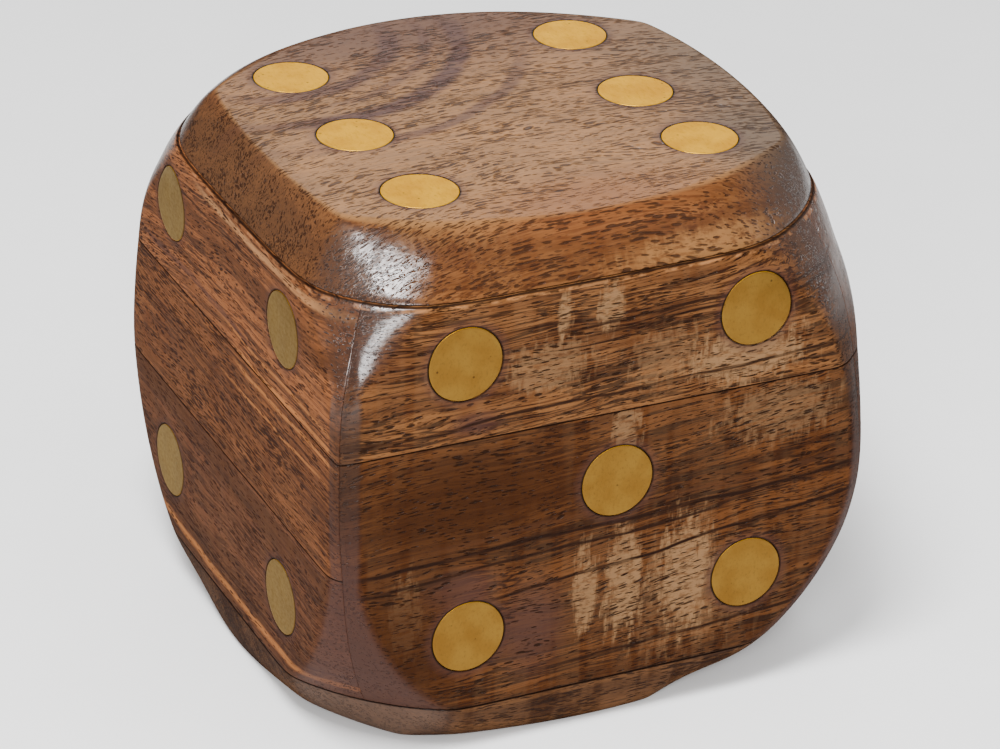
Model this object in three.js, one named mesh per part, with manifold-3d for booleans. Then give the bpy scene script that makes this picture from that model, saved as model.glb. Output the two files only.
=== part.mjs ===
// A wooden box in the shape of a rounded die: mitred hardwood walls, a base board, a lift-off lid
// and round brass pips let in flush with the wood. The box is hollow, to hold a set of small dice.
//
// Millimetres, +Z up. The origin is at the middle of the base's underside. The front is -Y, with
// five pips; the left is -X, with four; the lid carries six. Opposite faces add up to seven.

import * as THREE from 'three';
import { mergeVertices } from 'three/addons/utils/BufferGeometryUtils.js';
import ManifoldLibrary from 'manifold-3d';

const wasm = await ManifoldLibrary();
wasm.setup();

// ---------------------------------------------------------------- driving dimensions

const WIDTH = 90;                // along X, over the flats
const DEPTH = 89.3;              // along Y, over the flats
const HEIGHT = 85;               // along Z, underside to lid top

const BASE_THICKNESS = 7.9;
const LID_THICKNESS = 8.2;
const WALL_THICKNESS = 12.5;     // thick, so the rounded corners stay closed

const UPPER_BOARD_WIDTH = 22.6;  // the same in all four walls, so that their joint runs right round
const SIDE_LOWER_WIDTH = 25.9;   // in the left and right walls, where the rest is two boards

const PLUG_THICKNESS = 4;        // the square under the lid that locates it in the mouth
const PLUG_CLEARANCE = 0.5;      // each side, between the plug and the walls
const PLUG_CORNER_RADIUS = 3;
const LID_STEP = 0.35;           // the lid's rim stands this far inside the body's

const PIP_RADIUS = 5.9;
const PIP_THICKNESS = 1.5;       // where the wood round it is flat
const PIP_RING_GAP = 0.2;        // each side, between a disc and its recess
const PIP_GLUE_BED = 0.3;        // under a disc
const PIP_SIDE_MARGIN = 21.3;    // from a side of the box to the centre of an outer pip
const PIP_TOP_MARGIN = 18.4;     // from the lid's top to the centre of a wall's upper pip
const PIP_UNDER_MARGIN = 20.9;   // from the underside to the centre of a wall's lower pip

// The outside is a cube cut by a rounded cube that stands proud of its faces, so that the faces
// stay flat and the edges and corners are rounded off. These are how far it stands proud.
const ROUNDING_POWER = 2.24;     // 2 is an ellipsoid; higher is squarer
const PROUD_ABOVE = 13.4;        // along Z, over the lid's top
const PROUD_BELOW = 15.4;        // along Z, under the base
const PROUD_LOWER = 14.7;        // sideways, in the lower half
const PROUD_UPPER = {            // sideways, in the upper half: each corner was sanded by hand
  farRight: 10.5,
  farLeft: 13,
  nearLeft: 17.9,
  nearRight: 12.9,
};
const HALVES_BLEND = 12;         // height above and below the middle where the halves merge
const CREASE_POWER = 40;         // higher makes the line between a flat and the rounding sharper
const FLAT_CORNER_POWER = 80;    // the same for the corners of the flats on top and underneath

// The flats on the lid's top and the base's underside: how far each side is inside the box's, and
// how much it bows, as millimetres per square millimetre along the side.
const TOP_FLAT = {
  right: { inset: 4.9, bow: 0.0058 },
  far: { inset: 6.2, bow: 0.0112 },
  left: { inset: 6.1, bow: 0.0037 },
  near: { inset: 6.9, bow: 0.0089 },
};
const UNDER_FLAT = {
  right: { inset: 11, bow: 0.0147 },
  far: { inset: 5.9, bow: 0.0067 },
  left: { inset: 1.8, bow: 0.01 },
  near: { inset: 3.1, bow: 0.0061 },
};
const BEVEL_POWER = 2.14;        // roundness of the lid's and the base's bevels
const LID_ROUND_SHARE = 0.38;    // 0 is a straight bevel, 1 is fully round
const BASE_ROUND_SHARE = 0.6;

// ---------------------------------------------------------------- resolution

const STEPS_PER_QUARTER = 14;    // round the box
const BODY_LEVELS = 15;
const BEVEL_LEVELS = 7;
const PIP_SIDES = 40;
const PLUG_CORNER_STEPS = 6;
const CORNER_CROWDING = 0.45;    // 0 spaces the directions round the box evenly; higher favours corners
const TURN_CROWDING = 1.5;       // 1 spaces a bevel's levels evenly; higher favours the flat's edge
const FLAT_TOLERANCE = 0.03;     // a point this near a flat lies on it
const OVERSHOOT = 10;            // how far a cutter reaches past what it cuts

// ---------------------------------------------------------------- worked-out places

const halfWidth = WIDTH / 2;
const halfDepth = DEPTH / 2;
const upperPips = HEIGHT - PIP_TOP_MARGIN;
const lowerPips = PIP_UNDER_MARGIN;
const midHeight = (upperPips + lowerPips) / 2;
const seamHeight = HEIGHT - LID_THICKNESS;
const cavityHalfWidth = halfWidth - WALL_THICKNESS;
const cavityHalfDepth = halfDepth - WALL_THICKNESS;
const pipAcross = halfWidth - PIP_SIDE_MARGIN;
const pipAlong = halfDepth - PIP_SIDE_MARGIN;
const pipUp = upperPips - midHeight;

const upperJoint = seamHeight - UPPER_BOARD_WIDTH;
const sideLowJoint = BASE_THICKNESS + SIDE_LOWER_WIDTH;

// ---------------------------------------------------------------- materials

const wood = (color) => new THREE.MeshStandardMaterial({ color, roughness: 0.38, metalness: 0 });
const lidWood = wood(0x8a6a4c);
const frontWood = wood(0x7a4a28);
const sideWood = wood(0x6b3c24);
const baseWood = wood(0x5c3a26);
const brass = new THREE.MeshStandardMaterial({ color: 0xb98d45, roughness: 0.35, metalness: 1 });

// ---------------------------------------------------------------- the outside's shape

// The directions round the box, closer together at the corners than along the flats.
function directions() {
  const angles = [];
  for (let quarter = 0; quarter < 4; quarter += 1) {
    for (let step = 0; step < STEPS_PER_QUARTER; step += 1) {
      const fromCorner = -1 + (2 * step) / STEPS_PER_QUARTER;
      const spread = THREE.MathUtils.lerp(fromCorner, fromCorner ** 3, CORNER_CROWDING);
      angles.push((quarter + 0.5 + 0.5 * spread) * (Math.PI / 2));
    }
  }
  return angles;
}

const ANGLES = directions();

// The least of several distances, with the change from one to the next rounded.
function softLeast(distances, power) {
  const least = Math.min(...distances);
  const total = distances.reduce((sum, each) => sum + (least / each) ** power, 0);
  return least * total ** (-1 / power);
}

// How far the rounding stands proud of the sides, for a direction and a height.
function proudSideways(angle, height) {
  const { farRight, farLeft, nearLeft, nearRight } = PROUD_UPPER;
  const corners = [farRight, farLeft, nearLeft, nearRight];
  let total = 0;
  let weights = 0;
  corners.forEach((proud, quarter) => {
    const weight = Math.max(Math.cos(angle - (quarter + 0.5) * (Math.PI / 2)), 0) ** 2;
    total += weight * proud;
    weights += weight;
  });
  const upper = THREE.MathUtils.smoothstep(height - midHeight, -HALVES_BLEND, HALVES_BLEND);
  return THREE.MathUtils.lerp(PROUD_LOWER, total / weights, upper);
}

// The distance from the box's axis to its outside, between the base's underside and the lid's top.
function bodyRadius(angle, height) {
  const across = Math.abs(Math.cos(angle));
  const along = Math.abs(Math.sin(angle));
  const rise = height - midHeight;
  const proud = proudSideways(angle, height);
  const reach = rise > 0 ? HEIGHT - midHeight + PROUD_ABOVE : midHeight + PROUD_BELOW;
  const left = 1 - (Math.abs(rise) / reach) ** ROUNDING_POWER;
  const slope = (across / (halfWidth + proud)) ** ROUNDING_POWER
    + (along / (halfDepth + proud)) ** ROUNDING_POWER;
  const rounding = (left / slope) ** (1 / ROUNDING_POWER);
  const sides = [halfWidth / Math.max(across, 1e-6), halfDepth / Math.max(along, 1e-6)];
  return softLeast([rounding, ...sides], CREASE_POWER);
}

// The distance from the axis to a bowed side that faces the given direction.
function bowedSide(angle, facing, middle, bow) {
  const towards = Math.cos(angle - facing);
  const sideways = Math.max(Math.sin(angle - facing) ** 2, 1e-9);
  const root = Math.sqrt(towards ** 2 + 4 * bow * middle * sideways);
  return (root - towards) / (2 * bow * sideways);
}

// The outline of the flat on the lid's top or the base's underside.
function flatRadius(angle, flat) {
  return softLeast([
    bowedSide(angle, 0, halfWidth - flat.right.inset, flat.right.bow),
    bowedSide(angle, Math.PI / 2, halfDepth - flat.far.inset, flat.far.bow),
    bowedSide(angle, Math.PI, halfWidth - flat.left.inset, flat.left.bow),
    bowedSide(angle, 1.5 * Math.PI, halfDepth - flat.near.inset, flat.near.bow),
  ], FLAT_CORNER_POWER);
}

// How far a bevel has come in, from 0 at the seam to 1 at the flat.
function bevelShare(rise, roundShare) {
  const round = 1 - (1 - rise ** BEVEL_POWER) ** (1 / BEVEL_POWER);
  return THREE.MathUtils.lerp(rise, round, roundShare);
}

function ring(height, radiusAt) {
  return ANGLES.map((angle) => {
    const radius = radiusAt(angle);
    let x = radius * Math.cos(angle);
    let y = radius * Math.sin(angle);
    if (halfWidth - Math.abs(x) < FLAT_TOLERANCE) x = Math.sign(x) * halfWidth;
    if (halfDepth - Math.abs(y) < FLAT_TOLERANCE) y = Math.sign(y) * halfDepth;
    return [x, y, height];
  });
}

// A closed solid from rings of points, lowest first.
function loft(rings) {
  const count = ANGLES.length;
  const positions = rings.flat(2);
  const lowest = rings[0][0][2];
  const highest = rings[rings.length - 1][0][2];
  positions.push(0, 0, lowest, 0, 0, highest);
  const under = rings.length * count;
  const over = under + 1;
  const indices = [];
  for (let i = 0; i < count; i += 1) {
    const next = (i + 1) % count;
    for (let level = 0; level + 1 < rings.length; level += 1) {
      const low = level * count;
      const high = low + count;
      indices.push(low + i, low + next, high + next);
      indices.push(low + i, high + next, high + i);
    }
    const last = (rings.length - 1) * count;
    indices.push(under, next, i);
    indices.push(over, last + i, last + next);
  }
  const geometry = new THREE.BufferGeometry();
  geometry.setAttribute('position', new THREE.Float32BufferAttribute(positions, 3));
  geometry.setIndex(indices);
  return geometry;
}

// The walls' outside: all of the box between the base and the lid, still solid.
function wallsOutside() {
  const rings = [];
  for (let level = 0; level <= BODY_LEVELS; level += 1) {
    const share = 0.5 - 0.5 * Math.cos((Math.PI * level) / BODY_LEVELS);
    const height = THREE.MathUtils.lerp(BASE_THICKNESS, seamHeight, share);
    rings.push(ring(height, (angle) => bodyRadius(angle, height)));
  }
  return loft(rings);
}

// The rise of each level of a bevel, closer together near the flat where the bevel turns over.
function bevelRises() {
  const levels = Array.from({ length: BEVEL_LEVELS + 1 }, (_, level) => level);
  return levels.map((level) => 1 - (1 - level / BEVEL_LEVELS) ** TURN_CROWDING);
}

function lidOutside() {
  const rings = bevelRises().map((rise) => {
    const height = THREE.MathUtils.lerp(seamHeight, HEIGHT, rise);
    return ring(height, (angle) => {
      const rim = bodyRadius(angle, seamHeight) - LID_STEP;
      const share = bevelShare(rise, LID_ROUND_SHARE);
      return THREE.MathUtils.lerp(rim, flatRadius(angle, TOP_FLAT), share);
    });
  });
  return loft(rings);
}

function baseOutside() {
  const rings = bevelRises().map((rise) => {
    const height = THREE.MathUtils.lerp(BASE_THICKNESS, 0, rise);
    return ring(height, (angle) => {
      const rim = bodyRadius(angle, BASE_THICKNESS);
      const share = bevelShare(rise, BASE_ROUND_SHARE);
      return THREE.MathUtils.lerp(rim, flatRadius(angle, UNDER_FLAT), share);
    });
  });
  return loft(rings.reverse());
}

// ---------------------------------------------------------------- cutting

function toSolid(geometry) {
  const bare = geometry.clone();
  bare.deleteAttribute('normal');
  bare.deleteAttribute('uv');
  const merged = mergeVertices(bare, 1e-5);
  return new wasm.Manifold(new wasm.Mesh({
    numProp: 3,
    vertProperties: new Float32Array(merged.attributes.position.array),
    triVerts: new Uint32Array(merged.index.array),
  }));
}

function toGeometry(solid) {
  const mesh = solid.getMesh();
  const geometry = new THREE.BufferGeometry();
  geometry.setAttribute('position', new THREE.BufferAttribute(mesh.vertProperties, 3));
  geometry.setIndex(new THREE.BufferAttribute(mesh.triVerts, 1));
  geometry.computeVertexNormals();
  return geometry;
}

// An upright prism on an outline of [x, y] points, between two heights.
function prism(outline, low, high) {
  const shape = new THREE.Shape(outline.map(([x, y]) => new THREE.Vector2(x, y)));
  const geometry = new THREE.ExtrudeGeometry(shape, { depth: high - low, bevelEnabled: false });
  return geometry.translate(0, 0, low);
}

// The four walls' plans: a trapezium from the cavity's side out past the box, with mitred ends.
function wallPlan(side) {
  const w = cavityHalfWidth;
  const d = cavityHalfDepth;
  const out = WALL_THICKNESS + OVERSHOOT;
  const inner = { front: [[-w, -d], [w, -d]], right: [[w, -d], [w, d]], back: [[w, d], [-w, d]],
    left: [[-w, d], [-w, -d]] }[side];
  const outer = inner.map(([x, y]) => [x + Math.sign(x) * out, y + Math.sign(y) * out]);
  return [inner[0], outer[0], outer[1], inner[1]];
}

// ---------------------------------------------------------------- pips

// Each face's own axes: its outward direction, the directions of its pips' columns and rows, how
// far out it is, and how far from its middle the outer columns and rows are.
function face(out, right, up, reach, columns, rows) {
  return { out, right, up, reach, columns, rows };
}

const FACES = {
  top: face([0, 0, 1], [1, 0, 0], [0, 1, 0], HEIGHT, pipAcross, pipAlong),
  bottom: face([0, 0, -1], [1, 0, 0], [0, -1, 0], 0, pipAcross, pipAlong),
  front: face([0, -1, 0], [1, 0, 0], [0, 0, 1], halfDepth, pipAcross, pipUp),
  back: face([0, 1, 0], [-1, 0, 0], [0, 0, 1], halfDepth, pipAcross, pipUp),
  left: face([-1, 0, 0], [0, -1, 0], [0, 0, 1], halfWidth, pipAlong, pipUp),
  right: face([1, 0, 0], [0, 1, 0], [0, 0, 1], halfWidth, pipAlong, pipUp),
};

// Pip places in columns and rows out from a face's middle. They were set out by hand, so some are
// a little off their grid.
const PIPS = {
  top: [[-0.96, -0.97], [-1, -0.02], [-1.03, 1], [1.04, -0.9], [0.99, -0.06], [1, 0.97]],
  bottom: [[0, 0]],
  front: [[-0.99, -1.01], [-1.05, 1.02], [0.03, -0.06], [1, -0.98], [0.97, 1.02]],
  back: [[-1, -1], [1, 1]],
  left: [[-1.05, -1.02], [-0.97, 1.02], [0.97, -1.02], [1, 1]],
  right: [[-1, 1], [0, 0], [1, -1]],
};

// A solid cylinder on a pip's axis, from a depth under its face to well outside the box.
function pipCylinder(side, [column, row], radius, depth) {
  const { out, right, up, reach, columns, rows } = FACES[side];
  const outward = new THREE.Vector3(...out);
  const length = depth + OVERSHOOT;
  const centre = new THREE.Vector3(0, 0, out[2] === 0 ? midHeight : 0)
    .addScaledVector(outward, reach + length / 2 - depth)
    .addScaledVector(new THREE.Vector3(...right), column * columns)
    .addScaledVector(new THREE.Vector3(...up), row * rows);
  const turn = new THREE.Quaternion().setFromUnitVectors(new THREE.Vector3(0, 1, 0), outward);
  const cylinder = new THREE.CylinderGeometry(radius, radius, length, PIP_SIDES).applyQuaternion(turn);
  return toSolid(cylinder.translate(centre.x, centre.y, centre.z));
}

function cutRecesses(solid, side) {
  const depth = PIP_THICKNESS + PIP_GLUE_BED;
  return PIPS[side].reduce(
    (cut, place) => cut.subtract(pipCylinder(side, place, PIP_RADIUS + PIP_RING_GAP, depth)),
    solid,
  );
}

// ---------------------------------------------------------------- pieces

function piece(name, geometry, material) {
  const mesh = new THREE.Mesh(geometry, material);
  mesh.name = name;
  return mesh;
}

// One board of a wall, between two heights.
function wallBoard(name, side, low, high, outside, material) {
  const below = low > BASE_THICKNESS ? low : low - OVERSHOOT;
  const above = high < seamHeight ? high : high + OVERSHOOT;
  const board = outside.intersect(toSolid(prism(wallPlan(side), below, above)));
  return piece(name, toGeometry(cutRecesses(board, side)), material);
}

function walls(outside) {
  const group = new THREE.Group();
  ['front', 'back'].forEach((side) => {
    group.add(wallBoard(`${side}_lower_board`, side, BASE_THICKNESS, upperJoint, outside, frontWood));
    group.add(wallBoard(`${side}_upper_board`, side, upperJoint, seamHeight, outside, frontWood));
  });
  ['left', 'right'].forEach((side) => {
    group.add(wallBoard(`${side}_lower_board`, side, BASE_THICKNESS, sideLowJoint, outside, sideWood));
    group.add(wallBoard(`${side}_middle_board`, side, sideLowJoint, upperJoint, outside, sideWood));
    group.add(wallBoard(`${side}_upper_board`, side, upperJoint, seamHeight, outside, sideWood));
  });
  return group;
}

function baseBoard(outside) {
  return piece('base_board', toGeometry(cutRecesses(outside, 'bottom')), baseWood);
}

function lidBoard(outside) {
  return piece('lid_board', toGeometry(cutRecesses(outside, 'top')), lidWood);
}

// The plug, glued under the lid: a square with rounded corners, a little smaller than the mouth.
function lidPlug() {
  const w = cavityHalfWidth - PLUG_CLEARANCE;
  const d = cavityHalfDepth - PLUG_CLEARANCE;
  const r = PLUG_CORNER_RADIUS;
  const shape = new THREE.Shape();
  shape.moveTo(-w + r, -d);
  shape.lineTo(w - r, -d);
  shape.absarc(w - r, -d + r, r, -Math.PI / 2, 0);
  shape.lineTo(w, d - r);
  shape.absarc(w - r, d - r, r, 0, Math.PI / 2);
  shape.lineTo(-w + r, d);
  shape.absarc(-w + r, d - r, r, Math.PI / 2, Math.PI);
  shape.lineTo(-w, -d + r);
  shape.absarc(-w + r, -d + r, r, Math.PI, 1.5 * Math.PI);
  const extrusion = { depth: PLUG_THICKNESS, bevelEnabled: false, curveSegments: PLUG_CORNER_STEPS };
  const plug = piece('lid_plug', new THREE.ExtrudeGeometry(shape, extrusion), lidWood);
  plug.position.z = seamHeight - PLUG_THICKNESS;
  return plug;
}

// The pips of one face: discs sanded flush with the wood, so each takes its outside from the box.
function pips(side, outside) {
  const group = new THREE.Group();
  PIPS[side].forEach((place, index) => {
    const disc = outside.intersect(pipCylinder(side, place, PIP_RADIUS, PIP_THICKNESS));
    const name = PIPS[side].length > 1 ? `${side}_pip_${index + 1}` : `${side}_pip`;
    group.add(piece(name, toGeometry(disc), brass));
  });
  return group;
}

function diceBox() {
  const lid = toSolid(lidOutside());
  const middle = toSolid(wallsOutside());
  const base = toSolid(baseOutside());
  const box = new THREE.Group();
  box.add(baseBoard(base), walls(middle), lidBoard(lid), lidPlug());
  box.add(pips('top', lid), pips('bottom', base));
  ['front', 'back', 'left', 'right'].forEach((side) => box.add(pips(side, middle)));
  return box;
}

export default diceBox();
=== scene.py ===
"""A wooden box in the shape of a rounded die: hardwood boards, flush brass pips and a lift-off lid."""

import math

import bmesh
import bpy
import numpy as np
from mathutils import Matrix, Vector


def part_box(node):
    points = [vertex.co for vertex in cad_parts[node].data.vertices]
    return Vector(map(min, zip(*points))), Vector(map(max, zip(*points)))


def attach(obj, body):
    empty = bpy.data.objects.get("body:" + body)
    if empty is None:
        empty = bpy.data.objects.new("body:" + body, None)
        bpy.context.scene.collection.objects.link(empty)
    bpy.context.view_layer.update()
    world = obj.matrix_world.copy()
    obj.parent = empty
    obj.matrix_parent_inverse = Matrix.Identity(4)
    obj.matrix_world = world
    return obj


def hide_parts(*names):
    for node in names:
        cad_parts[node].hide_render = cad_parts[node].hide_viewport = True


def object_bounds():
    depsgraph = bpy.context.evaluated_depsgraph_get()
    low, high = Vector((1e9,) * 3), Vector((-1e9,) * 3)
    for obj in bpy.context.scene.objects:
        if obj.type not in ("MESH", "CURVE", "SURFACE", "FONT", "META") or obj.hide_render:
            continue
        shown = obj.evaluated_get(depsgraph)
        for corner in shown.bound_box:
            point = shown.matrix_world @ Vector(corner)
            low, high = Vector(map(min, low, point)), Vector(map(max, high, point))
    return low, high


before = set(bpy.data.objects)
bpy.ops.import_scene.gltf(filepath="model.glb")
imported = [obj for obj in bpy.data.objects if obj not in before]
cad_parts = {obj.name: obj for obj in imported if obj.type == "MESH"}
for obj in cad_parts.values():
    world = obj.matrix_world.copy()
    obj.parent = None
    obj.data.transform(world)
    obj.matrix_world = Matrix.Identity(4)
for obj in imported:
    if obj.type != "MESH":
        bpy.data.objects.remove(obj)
cad_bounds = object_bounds()

# ---- sizes, in millimetres

MM = 0.001


def node_box(node):
    """A node's lowest and highest corners in millimetres."""
    low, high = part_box(node)
    return np.array(low) / MM, np.array(high) / MM


HALF_WIDTH, HALF_DEPTH, HEIGHT = np.array(cad_bounds[1]) / MM
BASE_TOP = node_box("base_board")[1][2]
SEAM = node_box("lid_board")[0][2]
WALL = node_box("front_lower_board")[1][1] + HALF_DEPTH
CAVITY_HALF_WIDTH = HALF_WIDTH - WALL
CAVITY_HALF_DEPTH = HALF_DEPTH - WALL
PIP_RADIUS = (node_box("top_pip_1")[1][0] - node_box("top_pip_1")[0][0]) / 2
PIP_THICKNESS = node_box("top_pip_1")[1][2] - node_box("top_pip_1")[0][2]

# The rounded cube that cuts the box's edges and corners stands this far proud of its sides.
MID_HEIGHT = 43.75  # where the box is fullest
ROUNDING_POWER = 2.24  # 2 would make it a ball, and more is squarer
PROUD_ABOVE = 13.4
PROUD_BELOW = 15.4
PROUD_LOWER = 14.7
PROUD_UPPER = (10.5, 13.0, 17.9, 12.9)  # far right, far left, near left and near right corner
HALVES_BLEND = 12.0  # the lower amount turns into the upper ones over this
CREASE_POWER = 90.0  # the higher, the sharper the creases round the flats
TOP_CREASE_POWER = 28.0  # the creases are sanded softer near the seam
CREASE_CHANGE = (57.0, 71.0)  # over these heights
FLAT_CORNER_POWER = 110.0
# The inset and bow of each side of a flat: right, back, left and front.
TOP_FLAT = ((4.9, 0.0058), (6.2, 0.0112), (6.1, 0.0037), (6.9, 0.0089))
UNDER_FLAT = ((11.0, 0.0147), (5.9, 0.0067), (1.8, 0.01), (3.1, 0.0061))
BEVEL_POWER = 2.14
LID_ROUND_SHARE = 0.38  # how much of a bevel's section is round, not straight
BASE_ROUND_SHARE = 0.6
LID_STEP = 0.35  # the lid's rim stands in this much from the walls

SHARP_EDGE = 35  # in degrees
STEP = 0.62  # between a fine mesh's points
EDGE_STEPS = (0.0, 0.04, 0.1, 0.18, 0.3)  # closer together next to an edge
FLAT_INSETS = (0.25, 0.7, 1.5, 3.0)  # rings just inside the edge of a flat
PLAN_POINTS = 400  # for measuring along a board's outline
MITRE_HALVINGS = 40  # for finding where a mitre meets the outside
FOLLOW_ROUNDS = 20  # for finding the outside over a point of a flat
BEVEL_STEP = 0.7 * STEP
BEVEL_CROWDING = 1.35  # rings of a bevel lie closer together near the flat
JOINT_EASE = 0.24  # radius of the rounding on a glued board's edges
MITRE_EASE = 0.1
SEAM_EASE = 0.5  # on both sides of the seam under the lid
BASE_EASE = 0.3
PIP_GAP = 0.1  # between a disc and its recess
PIP_EASE = 0.12
PIP_EASE_POINTS = 5
RECESS_EXTRA = 0.3  # the recess goes this much deeper than the disc
CUTTER_PROUD = 5.0  # a recess's cutter stands this far out of the wood
PIP_SIDES = 96
PIP_RINGS = (0.6, 1.4, 2.2, 3.0, 3.8, 4.5, 5.1, 5.5)  # radii of a disc's rings of points
PLUG_CORNER = 3.0
PLUG_CORNER_POINTS = 10
PLUG_EASE = 0.8
PLUG_EASE_POINTS = 6


# ---- the outside's shape

def soft_least(distances, power):
    """The least of some distances, with the corners between them rounded off."""
    least = np.minimum.reduce(distances)
    total = sum((least / each) ** power for each in distances)
    return least * total ** (-1 / power)


def smooth_step(value, low, high):
    """A smooth change from 0 to 1 as the value goes from low to high."""
    share = np.clip((value - low) / (high - low), 0, 1)
    return share * share * (3 - 2 * share)


def proud_sideways(angle, height):
    """How far the rounded cube stands proud of the sides in a direction, at a height."""
    corners = [(quarter + 0.5) * math.pi / 2 for quarter in range(4)]
    weights = [np.maximum(np.cos(angle - corner), 0) ** 2 for corner in corners]
    upper = sum(weight * proud for weight, proud in zip(weights, PROUD_UPPER)) / sum(weights)
    share = smooth_step(height - MID_HEIGHT, -HALVES_BLEND, HALVES_BLEND)
    return PROUD_LOWER + (upper - PROUD_LOWER) * share


def body_radius(angle, height):
    """The distance from the box's axis to its outside, between the base and the lid."""
    across = np.maximum(np.abs(np.cos(angle)), 1e-6)
    along = np.maximum(np.abs(np.sin(angle)), 1e-6)
    rise = height - MID_HEIGHT
    proud = proud_sideways(angle, height)
    reach = np.where(rise > 0, HEIGHT - MID_HEIGHT + PROUD_ABOVE, MID_HEIGHT + PROUD_BELOW)
    left = 1 - (np.abs(rise) / reach) ** ROUNDING_POWER
    slope = (across / (HALF_WIDTH + proud)) ** ROUNDING_POWER
    slope = slope + (along / (HALF_DEPTH + proud)) ** ROUNDING_POWER
    rounding = (left / slope) ** (1 / ROUNDING_POWER)
    softer = smooth_step(height, *CREASE_CHANGE)
    power = CREASE_POWER + (TOP_CREASE_POWER - CREASE_POWER) * softer
    return soft_least([rounding, HALF_WIDTH / across, HALF_DEPTH / along], power)


def bowed_side(angle, facing, middle, bow):
    """The distance to a side that bows out in a curve and stands out most at its middle."""
    towards = np.cos(angle - facing)
    sideways = np.maximum(np.sin(angle - facing) ** 2, 1e-9)
    root = np.sqrt(towards ** 2 + 4 * bow * middle * sideways)
    return (root - towards) / (2 * bow * sideways)


def flat_radius(angle, flat):
    """The outline of the flat on the lid's top or on the underside."""
    halves = (HALF_WIDTH, HALF_DEPTH, HALF_WIDTH, HALF_DEPTH)
    sides = [
        bowed_side(angle, side * math.pi / 2, half - inset, bow)
        for side, (half, (inset, bow)) in enumerate(zip(halves, flat))
    ]
    return soft_least(sides, FLAT_CORNER_POWER)


def bevel_radius(angle, rise, rim, flat, round_share):
    """The outside of a bevel that has come in by a rise from 0 at its rim to 1 at the flat."""
    round_part = 1 - (1 - rise ** BEVEL_POWER) ** (1 / BEVEL_POWER)
    share = rise + (round_part - rise) * round_share
    return rim + (flat_radius(angle, flat) - rim) * share


def ease_depth(distance, radius):
    """How far a rounded edge lies inside the surface at a distance from the edge."""
    short = np.clip(radius - distance, 0, radius)
    return radius - np.sqrt(radius ** 2 - short ** 2)


# ---- mesh helpers

def spaced(length, step=STEP):
    """Places from 0 to a length, closer together at both ends."""
    edge = np.array(EDGE_STEPS)
    count = max(int(round((length - 2 * edge[-1]) / step)), 2)
    middle = np.linspace(edge[-1], length - edge[-1], count + 1)[1:-1]
    return np.concatenate([edge, middle, (length - edge)[::-1]])


def make_object(name, points, faces):
    """A mesh object from points in millimetres, with its faces turned outwards."""
    mesh = bpy.data.meshes.new(name)
    mesh.from_pydata((np.asarray(points) * MM).tolist(), [], faces)
    work = bmesh.new()
    work.from_mesh(mesh)
    bmesh.ops.recalc_face_normals(work, faces=work.faces)
    work.to_mesh(mesh)
    work.free()
    thing = bpy.data.objects.new(name, mesh)
    bpy.context.collection.objects.link(thing)
    return thing


def grid_faces(rows, columns, closed=False):
    """Quads between the points of a grid; a closed grid joins its last column to its first."""
    quads = []
    for row in range(rows - 1):
        for column in range(columns if closed else columns - 1):
            beside = (column + 1) % columns
            low, high = row * columns, (row + 1) * columns
            quads.append((low + column, low + beside, high + beside, high + column))
    return quads


def ring_points(angles, radius, height):
    """Points at a height, in some directions from the box's axis."""
    return np.stack([radius * np.cos(angles), radius * np.sin(angles), np.full_like(angles, height)], 1)


def distances_along(plan):
    """How far along an outline each of its points is."""
    return np.concatenate([[0], np.cumsum(np.linalg.norm(np.diff(plan, axis=0), axis=1))])


def shade(thing):
    """Shades the surface smooth, and keeps its edges sharp."""
    thing.data.shade_smooth()
    thing.data.set_sharp_from_angle(angle=math.radians(SHARP_EDGE))


# ---- faces and pips

# Each face's outward direction, and the directions of its columns and rows.
FACES = {
    "top": ((0, 0, 1), (1, 0, 0), (0, 1, 0)),
    "bottom": ((0, 0, -1), (1, 0, 0), (0, -1, 0)),
    "front": ((0, -1, 0), (1, 0, 0), (0, 0, 1)),
    "back": ((0, 1, 0), (-1, 0, 0), (0, 0, 1)),
    "left": ((-1, 0, 0), (0, -1, 0), (0, 0, 1)),
    "right": ((1, 0, 0), (0, 1, 0), (0, 0, 1)),
}
WALL_FACING = {"right": 0.0, "back": math.pi / 2, "left": math.pi, "front": 1.5 * math.pi}
PIP_NODES = {
    side: sorted(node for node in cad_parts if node.startswith(side) and "pip" in node)
    for side in FACES
}


def face_distance(side):
    """How far a face's flat is from the origin along its outward direction."""
    return {"top": HEIGHT, "bottom": 0.0, "left": HALF_WIDTH, "right": HALF_WIDTH}.get(side, HALF_DEPTH)


def pip_centre(node, side):
    """The middle of a pip, on its face's flat."""
    low, high = node_box(node)
    outward = np.array(FACES[side][0], float)
    middle = (low + high) / 2
    return middle + outward * (face_distance(side) - middle @ outward)


def on_outside(points, side):
    """Points of a face's flat, moved in to the box's outside along the face's direction."""
    outward, _, _ = (np.array(axis, float) for axis in FACES[side])
    if side in ("top", "bottom"):
        return points
    across = np.cross((0, 0, 1), outward)
    sideways = points @ across
    distance = np.full(len(points), face_distance(side))
    for _ in range(FOLLOW_ROUNDS):
        angle = np.arctan2(sideways, distance) + WALL_FACING[side]
        radius = body_radius(angle, points[:, 2])
        distance = np.sqrt(np.maximum(radius ** 2 - sideways ** 2, 0))
    return points + outward * (distance - points @ outward)[:, None]


def circle_points(centre, side, radius, depth, follow):
    """A circle round a pip's middle, on the outside or a depth under the flat."""
    outward, right, up = (np.array(axis, float) for axis in FACES[side])
    turn = np.linspace(0, 2 * math.pi, PIP_SIDES, endpoint=False)[:, None]
    flat = centre + radius * (np.cos(turn) * right + np.sin(turn) * up)
    if follow:
        flat = on_outside(flat, side)
    return flat - outward * depth


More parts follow.
